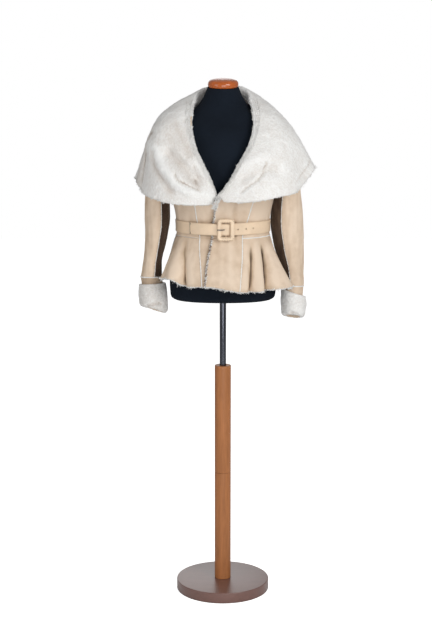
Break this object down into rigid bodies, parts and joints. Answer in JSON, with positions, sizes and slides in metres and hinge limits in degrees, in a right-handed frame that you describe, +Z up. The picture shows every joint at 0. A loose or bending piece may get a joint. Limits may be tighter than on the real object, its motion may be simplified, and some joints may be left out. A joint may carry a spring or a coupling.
{
  "type": "belted lambskin jacket on a limbless dress form with a round wooden stand",
  "caption": "Short belted lambskin jacket with a wide woolly cape collar, flared peplum and turned-back cuffs, on a dress form with a round base.",
  "frame": {"origin": "centre of the round base's underside, on the floor", "axes": "+Z up along the pole, -Y towards the front of the jacket, +X to the wearer's left"},
  "size_m": [0.5475, 0.3711, 1.5989],
  "materials": {
    "suede": "matte",
    "wool": "matte",
    "belt_leather": "satin",
    "steel": "satin",
    "jersey": "matte",
    "wood": "satin",
    "walnut": "satin",
    "cap_wood": "gloss"
  },
  "bodies": {
    "stand": {"base": "walnut", "pole_lower": "wood", "pole_upper": "wood"},
    "post": {"rod": "steel"},
    "torso": {"dress_form": "jersey", "neck_cap": "cap_wood", "front_left": "suede", "front_right": "suede", "side_front_left": "suede", "side_front_right": "suede", "back": "suede", "peplum_left": "suede", "peplum_right": "suede", "peplum_back": "suede", "collar_left": "wool", "collar_right": "wool", "sleeve_upper_left": "suede", "sleeve_upper_right": "suede", "sleeve_under_left": "suede", "sleeve_under_right": "suede", "wrist_band_left": "suede", "wrist_band_right": "suede", "cuff_left": "wool", "cuff_right": "wool", "belt": "belt_leather", "buckle_frame": "belt_leather", "buckle_prong": "steel"}
  },
  "joints": [
    {"name": "height", "type": "slide", "parent": "stand", "child": "post", "axis": [0, 0, 1], "range_m": [-0.11, 0.17]},
    {"name": "swivel", "type": "hinge", "parent": "post", "child": "torso", "pos_m": [0, 0, 0.96], "axis": [0, 0, 1], "continuous": true}
  ]
}
